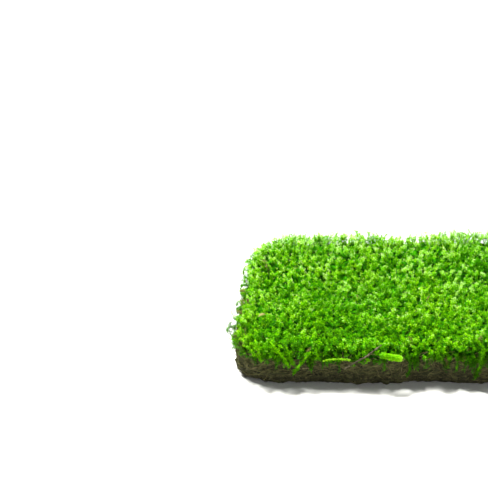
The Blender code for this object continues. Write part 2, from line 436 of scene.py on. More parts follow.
class Tissue:
    """Points, triangles and paint of many small things, gathered into one mesh."""

    def __init__(self):
        self.points = []
        self.triangles = []
        self.paint = []
        self.count = 0

    def add(self, points, triangles, paint):
        """Points are (things, points of one, 3), and paint has 2 for 3. Triangles are one thing's."""
        things, each = points.shape[:2]
        starts = self.count + each * np.arange(things)
        self.points.append(points.reshape(-1, 3))
        self.triangles.append((triangles[None] + starts[:, None, None]).reshape(-1, 3))
        self.paint.append(paint.reshape(-1, 2))
        self.count += things * each

    def mesh(self, name, painted=True):
        """One mesh: flat faces with the plants' map if it is painted, and smooth ones if it isn't."""
        points = np.concatenate(self.points)
        triangles = np.concatenate(self.triangles).astype(np.int32)
        paint = np.clip(np.concatenate(self.paint), 0.002, 0.998)
        mesh = bpy.data.meshes.new(name)
        mesh.vertices.add(len(points))
        mesh.vertices.foreach_set("co", points.astype(np.float32).ravel())
        mesh.loops.add(triangles.size)
        mesh.loops.foreach_set("vertex_index", triangles.ravel())
        mesh.polygons.add(len(triangles))
        mesh.polygons.foreach_set("loop_start", np.arange(0, triangles.size, 3, dtype=np.int32))
        mesh.polygons.foreach_set("use_smooth", np.full(len(triangles), not painted))
        if painted:
            layer = mesh.uv_layers.new(name=PAINT_MAP)
            layer.uv.foreach_set("vector", paint[triangles.ravel()].astype(np.float32).ravel())
        mesh.update(calc_edges=True)
        return mesh


class Axes:
    """Lines to grow leaves on, each given as points along it, with what its plant is like."""

    def __init__(self, stations, tone, oldest, youngest, size):
        number = len(stations)
        self.stations = stations
        self.tone = np.broadcast_to(tone, number)
        self.oldest = np.broadcast_to(oldest, number)
        self.youngest = np.broadcast_to(youngest, number)
        self.size = np.broadcast_to(size, number)
        self.side = unit(np.cross(stations[:, -1] - stations[:, 0], random.normal(size=(number, 3))))

    def take(self, chosen):
        part = object.__new__(Axes)
        for name, values in vars(self).items():
            setattr(part, name, values[chosen])
        return part

    def frames(self, share):
        """Points, and directions along and across, at these shares of the way. Share is (axes, places)."""
        last = self.stations.shape[1] - 1
        place = np.clip(share, 0.0, 1.0) * last
        low = np.minimum(place.astype(int), last - 1)
        part = (place - low)[..., None]
        rows = np.arange(len(self.stations))[:, None]
        slopes = np.gradient(self.stations, axis=1)
        points = self.stations[rows, low] * (1 - part) + self.stations[rows, low + 1] * part
        along = unit(slopes[rows, low] * (1 - part) + slopes[rows, low + 1] * part)
        side = self.side[:, None]
        side = unit(side - (side * along).sum(-1, keepdims=True) * along)
        return points, along, side, np.cross(along, side)

    def age(self, share):
        return self.oldest[:, None] + (self.youngest - self.oldest)[:, None] * share


def bent(start, bend, end, count=9):
    """Points along quadratic curves from start to end, drawn towards bend."""
    s = np.linspace(0.0, 1.0, count)[None, :, None]
    start, bend, end = start[:, None], bend[:, None], end[:, None]
    return (1 - s) ** 2 * start + 2 * s * (1 - s) * bend + s * s * end


def varied(tone, change):
    """Tones with that change, kept among those of living plants. Dead plants stay as they are."""
    return np.where(tone > WITHERED_TONE, np.clip(tone + change, *LIVING_TONES), tone)


def smooth_route(points, count):
    """That many points along a Catmull-Rom curve through these."""
    ends = np.array(points, float)
    padded = np.vstack([2 * ends[0] - ends[1], ends, 2 * ends[-1] - ends[-2]])
    place = np.linspace(0.0, len(ends) - 1.0, count)
    low = np.minimum(place.astype(int), len(ends) - 2)
    t = (place - low)[:, None]
    before, start, end, after = (padded[low + step] for step in range(4))
    return 0.5 * (2 * start + (end - before) * t + (2 * before - 5 * start + 4 * end - after) * t ** 2
                  + (3 * start - before - 3 * end + after) * t ** 3)


LEAF_TRIANGLES = np.array([(0, 2, 1), (1, 2, 3), (0, 1, 3), (0, 3, 2)])


def add_leaves(tissue, axes, count, bare, length, width, spread=LEAF_SPREAD, closed=LEAF_CLOSED,
               rooted=LEAF_ROOTED):
    """Leaves in a spiral up each axis, above its bare share. Each is a small closed boat."""
    order = np.arange(count)[None]
    number = len(axes.stations)
    grown = (order + random.uniform(0.1, 0.9, (number, count))) / count
    share = bare + (1.0 - bare) * grown ** LEAF_CROWDING
    points, along, side, other = axes.frames(share)
    turn = (order * GOLDEN_ANGLE + random.uniform(0, 2 * math.pi, (number, 1)))[..., None]
    outward = np.cos(turn) * side + np.sin(turn) * other
    opening = spread + (closed - spread) * grown ** LEAF_CLOSING
    opening = (opening + random.normal(0, SPREAD_VARIETY, grown.shape))[..., None]
    out = np.sin(opening) * outward + np.cos(opening) * along
    face = np.sin(opening) * along - np.cos(opening) * outward
    across = np.cross(face, out)
    bud = np.clip((grown - BUD_START) / (1.0 - BUD_START), 0.0, 1.0)
    foot = np.clip(grown / FOOT_END, 0.0, 1.0)
    long = length * axes.size[:, None] * (1.0 - FOOT_SHRINK * (1.0 - foot)) * (1.0 - BUD_SHRINK * bud)
    long = (long * random.uniform(*LENGTH_RANGE, grown.shape))[..., None]
    wide = width / length * long * random.uniform(*WIDTH_RANGE, grown.shape)[..., None]
    curl = random.normal(LEAF_CURL, CURL_VARIETY, grown.shape)[..., None]
    root = points + outward * rooted
    shoulder = root + out * long * LEAF_WIDEST + face * long * LEAF_CUP
    tip = root + out * long + face * long * curl
    leaf = np.stack([root, shoulder + across * wide / 2, shoulder - across * wide / 2, tip], 2)
    tone = varied(axes.tone[:, None], random.normal(0, LEAF_VARIETY, grown.shape))
    age = axes.age(share) + random.normal(0, AGE_VARIETY, grown.shape) + BUD_YOUTH * (bud - 0.4)
    age = np.clip(age, 0.05, 1.0)
    paint = np.stack([tone[..., None] + LEAF_TONES, age[..., None] + LEAF_PAINTED_SHADING], -1)
    tissue.add(leaf.reshape(-1, 4, 3), LEAF_TRIANGLES, paint.reshape(-1, 4, 2))


def tube_triangles(rings, sides):
    """The triangles of a closed tube of rings of points."""
    found = []
    for ring in range(rings - 1):
        for place in range(sides):
            a = ring * sides + place
            b = ring * sides + (place + 1) % sides
            found += [(a, b, b + sides), (a, b + sides, a + sides)]
    last = (rings - 1) * sides
    for place in range(1, sides - 1):
        found += [(0, place + 1, place), (last, last + place, last + place + 1)]
    return np.array(found)


def add_tubes(tissue, points, side, other, radius, sides, tone, age):
    """Round closed tubes. Points, side and other are (tubes, rings, 3), and the rest (tubes, rings)."""
    tubes, rings = points.shape[:2]
    turn = np.arange(sides) * 2 * math.pi / sides
    ring = np.cos(turn)[:, None] * side[..., None, :] + np.sin(turn)[:, None] * other[..., None, :]
    skin = points[..., None, :] + ring * radius[..., None, None]
    painted = turn + 0.4  # so that no face of the map is flat
    paint = np.stack([np.clip(tone, 0.02, 0.98)[..., None] + TUBE_TONE * np.cos(painted),
                      np.clip(age, 0.02, 0.98)[..., None] + TUBE_AGE * np.sin(painted)], -1)
    tissue.add(skin.reshape(tubes, rings * sides, 3), tube_triangles(rings, sides),
               paint.reshape(tubes, rings * sides, 2))


def add_stems(tissue, axes, rings, sides, thick, thin):
    """The stems of those axes. Thick and thin are the radii of their two ends."""
    share = np.broadcast_to(np.linspace(0.0, 0.99, rings), (len(axes.stations), rings))
    points, _, side, other = axes.frames(share)
    radius = (thick + (thin - thick) * share) * axes.size[:, None]
    tone = np.broadcast_to(axes.tone[:, None], share.shape)
    add_tubes(tissue, points, side, other, radius, sides, tone, STEM_AGE * axes.age(share) + 0.02)


def branches(axes, count, low, high, length, lean):
    """Short side branches that leave each axis between two shares of it and turn up along it."""
    number = len(axes.stations)
    share = random.uniform(low, high, (number, count))
    points, along, side, other = axes.frames(share)
    turn = (np.arange(count) * 2.4 + random.uniform(0, 2 * math.pi, (number, 1)))[..., None]
    outward = np.cos(turn) * side + np.sin(turn) * other
    grown = (length * random.uniform(0.65, 1.3, (number, count)) * axes.size[:, None])[..., None]
    tilt = (lean + random.normal(0, 0.18, (number, count)))[..., None]
    away = np.sin(tilt) * outward + np.cos(tilt) * along
    bend = points + away * grown * 0.55
    end = bend + unit(away + 0.45 * along) * grown * 0.45
    age = axes.age(share).ravel()
    youngest = np.minimum(age + TWIG_YOUTH, np.repeat(axes.youngest, count))
    tone = varied(np.repeat(axes.tone, count), TWIG_VARIETY * np.cos(turn).ravel())
    routes = bent(points.reshape(-1, 3), bend.reshape(-1, 3), end.reshape(-1, 3), 5)
    return Axes(routes, tone, 0.80 * age, youngest, np.repeat(axes.size, count))


# ---------------------------------------------------------------- where things grow

def points_of(mesh):
    found = np.empty(3 * len(mesh.vertices), np.float32)
    mesh.vertices.foreach_get("co", found)
    return found.reshape(-1, 3).astype(float)


def set_points(mesh, points):
    mesh.vertices.foreach_set("co", points.astype(np.float32).ravel())
    mesh.update()


def tree_of(mesh):
    """A mesh's surface, for casting rays at."""
    return BVHTree.FromPolygons([v.co[:] for v in mesh.vertices], [p.vertices[:] for p in mesh.polygons])


def outline_of(tree, height, directions=1440):
    """Points round a solid at that height, seen from above."""
    found = []
    for number in range(directions):
        angle = 2 * math.pi * number / directions
        ray = Vector((math.cos(angle), math.sin(angle), 0.0))
        hit = tree.ray_cast(Vector((0.0, 0.0, height)) + ray, -ray)[0]
        found.append(hit[:2])
    return np.array(found)


def evenly(outline, count):
    """The outline again, with that many points evenly spaced, and its length."""
    closed = np.vstack([outline, outline[:1]])
    run = np.concatenate([[0.0], np.cumsum(np.linalg.norm(np.diff(closed, axis=0), axis=1))])
    wanted = np.linspace(0.0, run[-1], count, endpoint=False)
    return np.stack([np.interp(wanted, run, closed[:, axis]) for axis in (0, 1)], 1), run[-1]


def noise_at(points, size, seed=0.0):
    """Smooth noise, about -0.5 to 0.5, whose lumps are about that large."""
    return np.array([noise.noise(Vector((x / size + seed, y / size, z / size))) for x, y, z in points])


class Ground:
    """The humus mat's outline, and how far inside it a place is."""

    def __init__(self, tree):
        self.outline, self.around = evenly(outline_of(tree, 0.7 * HUMUS_TOP), 720)

    def nearest(self, places):
        """Distance inside the outline, and the direction out across it, for each place."""
        gaps = self.outline[None] - places[:, None, :2]
        length = np.linalg.norm(gaps, axis=2)
        nearest = length.argmin(1)
        rows = np.arange(len(places))
        sign = np.where(self.inside(places), 1.0, -1.0)
        way = gaps[rows, nearest] / np.maximum(length[rows, nearest], 1e-9)[:, None]
        return length[rows, nearest] * sign, np.column_stack([way * sign[:, None], np.zeros(len(places))])

    def inside(self, places):
        turned = np.unwrap(np.arctan2(self.outline[:, 1], self.outline[:, 0]))
        reach = np.linalg.norm(self.outline, axis=1)
        angle = np.arctan2(places[:, 1], places[:, 0])
        angle = turned[0] + np.mod(angle - turned[0], 2 * math.pi)
        limit = np.interp(angle, np.append(turned, turned[0] + 2 * math.pi), np.append(reach, reach[0]))
        return np.linalg.norm(places[:, :2], axis=1) < limit


class TornSide:
    """The humus mat's torn side, as a table of how far out it is by place along it and by height."""

    LEVELS = 24
    SEARCH = 15 * MM  # how far outside the outline the side is looked for
    MISSED = -2 * MM  # where it is taken to be if it isn't found

    def __init__(self, tree, ground):
        outline = ground.outline
        self.around = ground.around
        slope = unit(np.roll(outline, -2, axis=0) - np.roll(outline, 2, axis=0))
        self.out = np.column_stack([slope[:, 1], -slope[:, 0], np.zeros(len(outline))])
        self.heights = np.linspace(0.4 * MM, HUMUS_TOP - 0.6 * MM, self.LEVELS)
        self.reach = np.zeros((len(outline), self.LEVELS))
        for row, (place, out) in enumerate(zip(outline, self.out)):
            for level, height in enumerate(self.heights):
                start = Vector((*place, height)) + Vector(out) * self.SEARCH
                hit = tree.ray_cast(start, -Vector(out), 40 * MM)
                self.reach[row, level] = self.SEARCH - hit[3] if hit[3] is not None else self.MISSED
        self.outline = np.column_stack([outline, np.zeros(len(outline))])

    def at(self, along, height, proud):
        """Points that far proud of the side. Along is in metres round the sheet."""
        columns = len(self.outline)
        place = np.mod(along / self.around, 1.0) * columns
        low = place.astype(int) % columns
        high = (low + 1) % columns
        part = (place - np.floor(place))[..., None]
        level = np.interp(height, self.heights, np.arange(len(self.heights)))
        level = np.minimum(np.round(level).astype(int), len(self.heights) - 1)
        reach = (self.reach[low, level] * (1 - part[..., 0]) + self.reach[high, level] * part[..., 0])
        out = unit(self.out[low] * (1 - part) + self.out[high] * part)
        points = self.outline[low] * (1 - part) + self.outline[high] * part
        points = points + out * (reach + proud)[..., None]
        points[..., 2] = height
        return points


def scattered(candidates, apart, taken=()):
    """The rows of candidates that stay that far from each other and from the points already taken."""
    cells = {}
    steps = [(x, y, z) for x in (-1, 0, 1) for y in (-1, 0, 1) for z in (-1, 0, 1)]

    def cell_of(point):
        return tuple(int(math.floor(value / apart)) for value in point)

    for point in taken:
        cells.setdefault(cell_of(point), []).append(tuple(point))
    kept = []
    for row, point in enumerate(candidates):
        cell = cell_of(point)
        near = (other for step in steps for other in cells.get(tuple(map(sum, zip(cell, step))), ()))
        if all(math.dist(point, other) >= apart for other in near):
            cells.setdefault(cell, []).append(tuple(point))
            kept.append(row)
    return np.array(kept)


def envelope_samples(count):
    """Random points on the moss carpet's solid, but not its underside, and the way out at each."""
    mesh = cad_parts["moss_carpet"].data
    mesh.calc_loop_triangles()
    corners = points_of(mesh)[np.array([t.vertices[:] for t in mesh.loop_triangles])]
    across = np.cross(corners[:, 1] - corners[:, 0], corners[:, 2] - corners[:, 0])
    out = unit(across)
    area = np.linalg.norm(across, axis=1) * (out[:, 2] > -0.5)
    chosen = random.choice(len(area), count, p=area / area.sum())
    r, s = random.uniform(0, 1, (2, count, 1))
    flip = r + s > 1
    r, s = np.where(flip, 1 - r, r), np.where(flip, 1 - s, s)
    a, b, c = corners[chosen].transpose(1, 0, 2)
    return a + r * (b - a) + s * (c - a), out[chosen]


def towards_back(places):
    """0 over the front half of the sheet, rising to 1 near its back edge."""
    share = np.clip(places[:, 1] / (50.0 * MM), 0.0, 1.0)
    return share * share * (3.0 - 2.0 * share)


def lift_at(places):
    """Millimetres that the shoots stand above the carpet's solid, but for its rim."""
    x, y = places[:, 0] / MM, places[:, 1] / MM
    middle, half, deep = BACK_HOLLOW
    start, gentle, high = RIGHT_CREST
    corner_x, corner_y, reach, drop = CORNER_DROP
    along_back = BACK_RISE - deep * np.exp(-((x - middle) / half) ** 2)
    along_back = along_back + high / (1.0 + np.exp((start - x) / gentle))
    corner = np.exp(-((x - corner_x) ** 2 + (y - corner_y) ** 2) / reach ** 2)
    return along_back * towards_back(places) - drop * corner


def youth_and_painted_light_at(places):
    """How much younger the moss is painted at each place, which also carries painted light and shade:
    painted light towards the back, painted shade towards the front, in a band near the front and along the
    left and front edges, and random younger and older clumps.
    """
    y = places[:, 1] / MM
    back, painted_light_step = BACK_PAINTED_LIGHT
    middle, half, painted_shade = SHADED_BAND
    size, change = YOUNG_CLUMPS
    # painted light towards the back, and painted shade towards the front
    youth_and_light = np.where(y > 0.0, painted_light_step * np.minimum(y, back), FRONT_PAINTED_SHADE * y)
    # random clumps of younger and older moss, and painted shade in a band near the front
    youth_and_light = youth_and_light + change * noise_at(places, size * MM, 80.0) - painted_shade * np.exp(-((y - middle) / half) ** 2)
    # painted shade along the left and front edges
    for axis, (reach, painted_shade) in enumerate((LEFT_PAINTED_SHADE, FRONT_EDGE_PAINTED_SHADE)):
        inside = np.maximum(places[:, axis] - HUMUS_LOW[axis], 0.0)
        youth_and_light = youth_and_light - painted_shade * np.exp(-inside / (reach * MM))
    return youth_and_light


def shoots_to(tips, outward, ground, shortfall):
    """Routes of shoots that stop that far short of these tips, rooted in the humus below them.

    It also gives how near the rim each one is, and how far sideways it points, both from 0 to 1.
    """
    number = len(tips)
    depth, way = ground.nearest(tips)
    rim = np.exp(-np.maximum(depth, 0.0) / RIM_WIDTH)
    inner = (1.0 - rim)[:, None]
    sideways = np.clip(1.0 - np.clip(outward[:, 2], 0.0, 1.0), 0.0, 1.0)
    drift = np.column_stack([noise_at(tips, DRIFT_SIZE, 3.0), noise_at(tips, DRIFT_SIZE, 9.0),
                             np.zeros(number)])
    apart, narrow, deep = VALLEYS
    size, change = CLUMPS
    clump = change * noise_at(tips * LEVEL, size * MM, 40.0)
    valley = deep * np.exp(-(noise_at(tips * LEVEL, apart * MM, 50.0) / narrow) ** 2)
    raised = TALLER + lift_at(tips) + RIM_LIFT * rim
    height = shortfall + (1.0 - sideways) * (valley * (1.0 - rim) - clump - raised) * MM
    tips = tips - outward * height[:, None] + drift * inner * TIP_DRIFT
    tips[:, 2] = np.minimum(tips[:, 2], CARPET_HIGH[2] + TALLEST)

    everywhere, more, chance = ROOT_PULL
    pull = (everywhere + more * rim + chance * random.uniform(0, 1, number)) * MM + np.maximum(-depth, 0.0)
    wobble = random.normal(0, ROOT_VARIETY, (number, 3)) * LEVEL
    root = tips - way * pull[:, None] - drift * ROOT_DRIFT * inner - wobble
    inset, out_way = ground.nearest(root)
    root = root - out_way * np.maximum(ROOT_INSET - inset, 0.0)[:, None]
    root[:, 2] = ROOT_HEIGHT

    droop = sideways * random.uniform(0.2, 1.9, number)
    heading = unit(UP * (1.1 - droop)[:, None] + way * ((0.20 + 0.9 * sideways) * rim)[:, None]
                   + drift * HEADING_DRIFT + random.normal(0, HEADING_VARIETY, (number, 3)) * (1, 1, 0.4))
    length = np.linalg.norm(tips - root, axis=1)
    bend = tips - heading * (0.55 * length)[:, None]
    bend[:, 2] = np.clip(bend[:, 2], HUMUS_TOP + 1.0 * MM, CARPET_HIGH[2] - 1.0 * MM)
    routes = bent(root, bend, tips)
    sway = random.normal(0, SWAY, (number, 3)) * (1, 1, 0.3)
    phase = random.uniform(0, 2 * math.pi, number)
    waves = np.sin(np.linspace(0, 1.6 * math.pi, routes.shape[1])[None] + phase[:, None])
    routes[:, 1:] += (waves[..., None] * sway[:, None])[:, 1:]
    return routes, rim, sideways


def tones_at(places, spread, withered=0.003):
    """How warm the green is at each place: in drifts across the sheet, and from plant to plant.

    More plants have died back along the left edge, and most at the front left corner.
    """
    drift = sum(strength * noise_at(places, size * MM, seed) for size, seed, strength in DRIFTS)
    tone = 0.50 + drift + random.normal(0, spread, len(places))
    near, at_corner = DEAD_CORNER
    beside, at_left = DEAD_LEFT
    corner = np.linalg.norm(places[:, :2] - HUMUS_LOW[:2], axis=1) / (near * MM)
    left = np.maximum(places[:, 0] - HUMUS_LOW[0], 0.0) / (beside * MM)
    share = withered + at_corner * np.exp(-corner ** 2) + at_left * np.exp(-left)
    dead = random.uniform(0, 1, len(places)) < share
    return np.where(dead, DEAD_TONE, np.clip(tone, 0.12, 0.97))


def top_of_carpet(places):
    """The height of the carpet's solid at each of those places."""
    tree = tree_of(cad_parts["moss_carpet"].data)
    hits = (tree.ray_cast(Vector((x, y, 2 * CARPET_HIGH[2])), Vector(-UP))[0] for x, y, _ in places)
    return np.array([hit[2] if hit else HUMUS_TOP for hit in hits])


# ---------------------------------------------------------------- the moss carpet

def add_piece(name, mesh, finish, node):
    """The mesh as a visible piece that stands for that node of the frame."""
    mesh.materials.append(finish)
    piece = bpy.data.objects.new(name, mesh)
    bpy.context.scene.collection.objects.link(piece)
    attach(piece, "root")
    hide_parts(node)


def add_moss(name, tissue, finish, node="moss_carpet"):
    add_piece(name, tissue.mesh(name), finish, node)


def leafy(axes, growth):
    """Shoots along those axes, with their stems, leaves and side branches."""
    tissue = Tissue()
    add_stems(tissue, axes, 6, 3, *growth.stem)
    add_leaves(tissue, axes, growth.leaves, growth.bare, *growth.leaf)
    sides = branches(axes, growth.twigs, *TWIG_SPAN, TWIG_LENGTH, TWIG_LEAN)
    length, width = (size * share for size, share in zip(growth.leaf, TWIG_LEAF))
    add_leaves(tissue, sides, growth.twig_leaves, 0.10, length, width)
    return tissue


def crowd_to(tips, outward, ground, crowd):
    """The axes of a crowd of shoots to these tips, and how near the rim each one is."""
    number = len(tips)
    shortfall = random.uniform(*crowd.shortfall, number) * MM
    routes, rim, sideways = shoots_to(tips, outward, ground, shortfall)
    size = random.uniform(*crowd.size, number)
    # painted light and shade from place to place ride on the tips' age, and shoots that point sideways get
    # painted shade
    youngest = random.uniform(*crowd.youngest, number) - crowd.drooping * sideways + youth_and_painted_light_at(tips)
    return Axes(routes, tones_at(routes[:, -1], 0.10), 0.0, youngest, size), rim


def add_in_parts(name, parts, axes, growth, finish):
    """The shoots along those axes, shared among so many pieces."""
    for number, rows in enumerate(np.array_split(np.arange(len(axes.stations)), parts)):
        add_moss(f"{name}_{number + 1}", leafy(axes.take(rows), growth), finish)


def add_carpet(ground, finish):
    """The shoots that fill the green layer: large ones everywhere, and young ones between them."""
    samples, outward = envelope_samples(34000)
    large = scattered(samples, LARGE_CROWD.apart)
    small = scattered(samples[:12000], SMALL_CROWD.apart, samples[large])
    axes, rim = crowd_to(samples[large], outward[large], ground, LARGE_CROWD)
    add_in_parts("top_shoots", 3, axes.take(rim < RIM_SHARE), TOP_GROWTH, finish)
    add_in_parts("rim_shoots", 2, axes.take(rim >= RIM_SHARE), RIM_GROWTH, finish)
    axes, rim = crowd_to(samples[small], outward[small], ground, SMALL_CROWD)
    add_in_parts("young_shoots", 2, axes, YOUNG_GROWTH, finish)


def add_edge_shoots(side, finish):
    """Upright shoots close together all along the rim, and twice as many along the back and the left end."""
    places = np.arange(int(side.around / EDGE_APART))
    along = (places + random.uniform(0, 1, len(places))) * EDGE_APART
    spots = side.at(along, HUMUS_TOP, 0.0)
    doubled = (spots[:, 1] > DOUBLED_BEHIND) | (spots[:, 0] < DOUBLED_LEFT_OF)
    along = np.concatenate([along, (along + 0.5 * EDGE_APART)[doubled]])
    count = len(along)
    proud = random.uniform(-6.5, 1.4, count) * MM
    tip = side.at(along, HUMUS_TOP, proud)
    root = side.at(along + random.normal(0, 1.2, count) * MM, HUMUS_TOP,
                   np.minimum(proud - random.uniform(0.4, 2.4, count) * MM, -1.0 * MM))
    taller = random.uniform(-3.0, 1.8, count) + lift_at(tip) + 3.0 * noise_at(tip, 11 * MM, 60.0)
    tip[:, 2] = np.minimum(top_of_carpet(tip) + taller * MM, CARPET_HIGH[2] + TALLEST)
    root[:, 2] = ROOT_HEIGHT
    bend = 0.5 * (root + tip) + random.normal(0, 1.0 * MM, (count, 3))
    # painted light and shade from place to place ride on the tips' age
    youngest = random.uniform(0.80, 0.98, count) + youth_and_painted_light_at(tip)
    size = random.uniform(0.85, 1.15, count) + BACK_SIZE * towards_back(tip)
    axes = Axes(bent(root, bend, tip), tones_at(tip, 0.12, 0.01), 0.0, youngest, size)
    add_moss("edge_shoots", leafy(axes, EDGE_GROWTH), finish)


def add_fringe(side, finish):
    """Shoots that droop over the torn edge, thicker in some places than in others, painted darker as the
    shade under the overhang.
    """
    along = random.uniform(0, side.around, FRINGE_TRIED)
    spots = side.at(along, HUMUS_TOP, 0.0)
    along = along[noise_at(spots, 24 * MM, 70.0) > random.uniform(-0.45, 0.35, FRINGE_TRIED)]
    count = len(along)
    drop = random.uniform(0.0, 1.0, count) ** 1.4
    low = HUMUS_TOP + (3.0 - 9.5 * drop) * MM
    root = side.at(along, HUMUS_TOP, -random.uniform(2.0, 4.5, count) * MM)
    slide = random.normal(0, 3.0 * MM, count)
    crest = side.at(along + slide * 0.5, HUMUS_TOP + random.uniform(5, 11, count) * MM,
                    random.uniform(1.0, 4.2, count) * MM)
    tip = side.at(along + slide, low, random.uniform(1.0, 3.4, count) * MM)
    # the drooping shoots' low ages are painted shade under the overhanging carpet
    axes = Axes(bent(root, crest, tip), tones_at(root, 0.14, 0.03), 0.10, random.uniform(0.36, 0.70, count),
                random.uniform(0.8, 1.1, count))
    add_moss("drooping_shoots", leafy(axes, DROOPING_GROWTH), finish)


def remeshed(name, source, voxel, place_of=None):
    """A copy of a frame node's shape with an even mesh, its points moved by place_of first."""
    mesh = source.data.copy()
    if place_of:
        set_points(mesh, place_of(points_of(mesh)))
    rough = bpy.data.objects.new(name + "_rough", mesh)
    bpy.context.scene.collection.objects.link(rough)
    even = rough.modifiers.new("even", "REMESH")
    even.mode = "VOXEL"
    even.voxel_size = voxel
    made = bpy.data.meshes.new_from_object(rough.evaluated_get(bpy.context.evaluated_depsgraph_get()))
    bpy.data.objects.remove(rough)
    bpy.data.meshes.remove(mesh)
    made.name = name
    made.materials.clear()
    return made


def ways_out(mesh):
    found = np.empty(3 * len(mesh.vertices), np.float32)
    mesh.vertices.foreach_get("normal", found)
    return found.reshape(-1, 3).astype(float)


def add_moss_bed(ground, finish):
    """The close dark growth low between the shoots; its dark colour is painted shade."""
    def sunk(points):
        depth, way = ground.nearest(points)
        rim = np.exp(-np.maximum(depth, 0.0) / BED_RIM_WIDTH)
        points = points - way * (BED_INSET * rim + np.maximum(-depth, 0.0))[:, None]
        share = BED_HEIGHT + (BED_RIM_HEIGHT - BED_HEIGHT) * np.maximum(rim, towards_back(points))
        points[:, 2] = HUMUS_TOP - 0.6 * MM + (points[:, 2] - CARPET_LOW[2]) * share
        return points

    mesh = remeshed("moss_bed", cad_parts["moss_carpet"], BED_VOXEL, sunk)
    points = points_of(mesh)
    push = BED_LUMP * noise_at(points, 3.0 * MM, 5.0) + BED_LUMP * noise_at(points, 9.0 * MM, 8.0)
    set_points(mesh, points + ways_out(mesh) * push[:, None])
    add_piece("moss_bed", mesh, finish, "moss_carpet")


# ---------------------------------------------------------------- the humus mat

def add_humus_body(finish):
    """The mat's lumpy body, flat below but for its grain."""
    mesh = remeshed("humus_body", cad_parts["humus_mat"], HUMUS_VOXEL)
    points = points_of(mesh)
    out = ways_out(mesh)
    push = (1.7 * noise_at(points, 5.0 * MM, 1.0) + 1.5 * noise_at(points, 2.4 * MM, 2.0)) * MM
    push = push + 0.15 * MM
    level = np.abs(out[:, 2:]) > 0.8
    points = points + out * push[:, None] * np.where(level, UNDERSIDE_ROUGH, 1.0)
    points[:, 2] = np.clip(points[:, 2], 0.0, None)
    set_points(mesh, points)
    add_piece("humus_body", mesh, finish, "humus_mat")
    return mesh


def side_fibres(tissue, side, count, length, radius, slant, heights, lift, tones, ages):
    """Fibres that lie along the torn side, most of them level. Pairs are lowest and highest values."""
    rings = 5
    share = np.linspace(0.0, 1.0, rings)[None]
    length, radius, heights, lift = np.array([length, radius, heights, lift]) * MM
    along = random.uniform(0, side.around, count)[:, None]
    height = random.uniform(*heights, count)[:, None]
    long = random.uniform(*length, count)[:, None]
    angle = random.normal(0, slant, count)[:, None]
    bow = random.normal(0, 0.5, count)[:, None]
    turn = angle + bow * (share - 0.5)
    run = along + long * np.cos(turn) * share
    rise = np.clip(height + long * np.sin(turn) * share, 0.45 * MM, HUMUS_TOP + 6 * MM)
    ends = random.uniform(*lift, count)[:, None] * share ** 2
    proud = random.uniform(-0.25, 0.35, count)[:, None] * MM + ends
    points = side.at(run, rise, proud)
    tone = random.uniform(*tones, count)
    age = random.uniform(*ages, count)
    axes = Axes(points, tone, age, age, 1.0)
    where, _, beside, other = axes.frames(np.broadcast_to(share, (count, rings)))
    thick = random.uniform(*radius, count)[:, None] * (1.0 - 0.55 * share)
    # paler the higher a fibre lies and darker low on the side: painted shade
    paint = tone[:, None] + 0.25 * (rise / HUMUS_TOP - 0.55)
    add_tubes(tissue, where, beside, other, thick, 3, paint, age[:, None] + 0.2 * share)


CRUMB = np.array([(1, 0, 0), (-1, 0, 0), (0, 1, 0), (0, -1, 0), (0, 0, 1), (0, 0, -1)], float)
CRUMB_TRIANGLES = np.array([(0, 2, 4), (2, 1, 4), (1, 3, 4), (3, 0, 4),
                            (2, 0, 5), (1, 2, 5), (3, 1, 5), (0, 3, 5)])


def add_crumbs(tissue, places, size, tones):
    """Small lumps of eight faces, each of its own shape."""
    count = len(places)
    lump = CRUMB[None] * random.uniform(0.45, 1.15, (count, 6, 1))
    frames = np.linalg.qr(random.normal(size=(count, 3, 3)))[0]
    frames[:, 0] *= np.sign(np.linalg.det(frames))[:, None]
    stretch = random.uniform(0.6, 1.4, (count, 1, 3))
    points = np.einsum("nij,njk->nik", lump * stretch, frames) * random.uniform(*size, count)[:, None, None]
    points = points + places[:, None]
    points[..., 2] = np.maximum(points[..., 2], 0.05 * MM)
    tone = np.broadcast_to(random.uniform(*tones, count)[:, None], (count, 6))
    tone = tone + np.linspace(-0.03, 0.03, 6)[None]
    age = np.broadcast_to(np.array([0.10, 0.22, 0.05, 0.15, 0.28, 0.02])[None], (count, 6))
    tissue.add(points, CRUMB_TRIANGLES, np.stack([tone, age], -1))


def add_underside(tissue, ground, count):
    """Rootlets pressed flat under the mat."""
    rings = 5
    share = np.linspace(0.0, 1.0, rings)[None]
    start = random.uniform(HUMUS_LOW[:2], HUMUS_HIGH[:2], (count, 2))
    angle = random.uniform(0, 2 * math.pi, count)[:, None] + random.normal(0, 0.9, count)[:, None] * share
    long = random.uniform(6, 22, count)[:, None] * MM
    x = start[:, :1] + np.cumsum(np.cos(angle) * long / rings, axis=1)
    y = start[:, 1:] + np.cumsum(np.sin(angle) * long / rings, axis=1)
    thick = random.uniform(0.10, 0.26, count)[:, None] * MM * np.ones_like(share)
    points = np.stack([x, y, thick + 0.02 * MM], -1)
    inside = ground.nearest(points[:, 0])[0] > 4 * MM
    inside &= ground.nearest(points[:, -1])[0] > 4 * MM
    axes = Axes(points[inside], random.uniform(0.2, 0.85, inside.sum()), 0.2, 0.2, 1.0)
    where, way, _, _ = axes.frames(np.broadcast_to(share, (inside.sum(), rings)))
    flat = unit(np.cross(way, UP))
    tone = np.broadcast_to(axes.tone[:, None], where.shape[:2])
    age = 0.2 + 0.2 * np.tile(share, (len(where), 1))
    add_tubes(tissue, where, flat, np.cross(way, flat), thick[inside], 3, tone, age)


